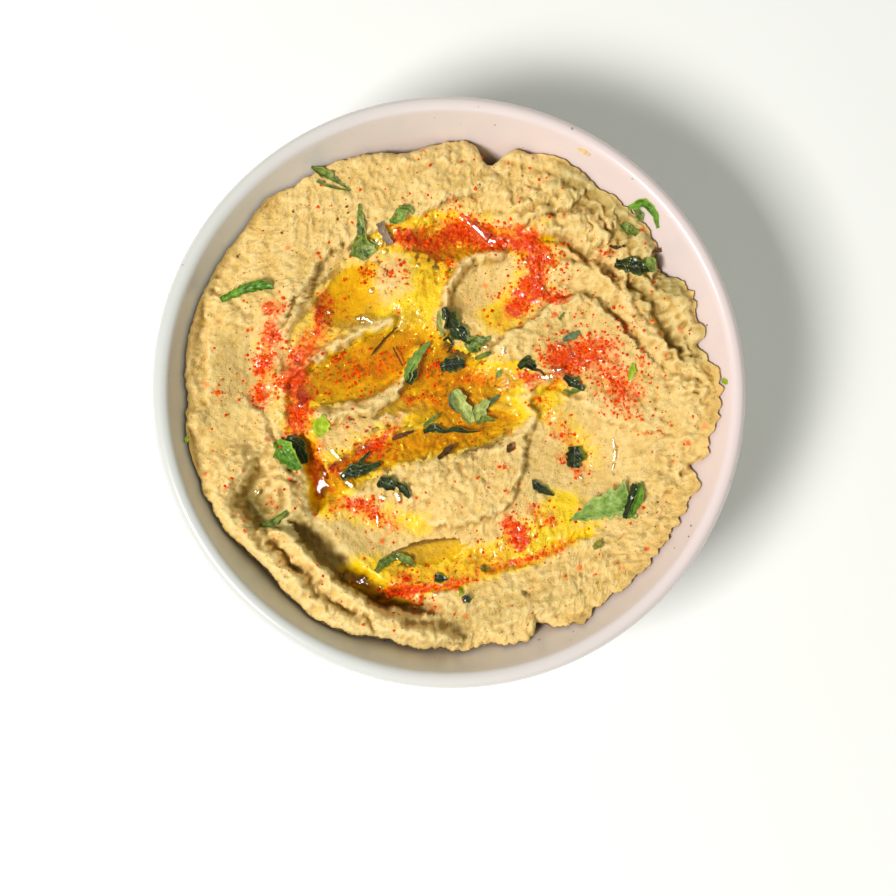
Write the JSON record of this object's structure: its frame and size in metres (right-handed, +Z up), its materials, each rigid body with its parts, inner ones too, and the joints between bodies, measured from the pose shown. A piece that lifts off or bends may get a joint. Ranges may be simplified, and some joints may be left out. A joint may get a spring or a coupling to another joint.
{
  "type": "hummus in a bowl",
  "caption": "Hummus spread in a round glazed bowl, with spoon marks, small pools of olive oil, paprika and pieces of chopped mint.",
  "frame": {"origin": "middle of the foot, on the table", "axes": "+Z up, out of the bowl's mouth; +X to the right and +Y away from the eater, as the dish is served"},
  "size_m": [0.16, 0.16, 0.056],
  "materials": {
    "glaze": "pale pinkish grey glaze with fine dark specks",
    "hummus": "moist coarse paste",
    "oil": "clear amber olive oil stained by paprika",
    "leaf": "fresh mint, satin, dark where wet with oil",
    "stem": "mauve-brown stem",
    "spice": "ground paprika"
  },
  "bodies": {
    "root": {"bowl": "glaze", "hummus": "hummus", "oil_pool_middle": "oil", "oil_pool_back": "oil", "oil_pool_left": "oil", "oil_pool_front": "oil", "mint_sliver_back": "leaf", "mint_spear": "leaf", "mint_curl_back": "leaf", "mint_roll_left": "leaf", "mint_arc_edge": "leaf", "mint_wet_edge": "leaf", "mint_middle_long": "leaf", "mint_middle_right": "leaf", "mint_middle_low": "leaf", "mint_middle_left": "leaf", "mint_pale_left": "leaf", "mint_pale_right": "leaf", "mint_strip_pool": "leaf", "mint_fold_left": "leaf", "mint_branched": "leaf", "mint_lobed": "leaf", "mint_block": "leaf", "mint_sliver_right": "leaf", "mint_large": "leaf", "mint_sprig_front": "leaf", "mint_strip_left": "leaf", "mint_stem": "stem"}
  },
  "joints": []
}
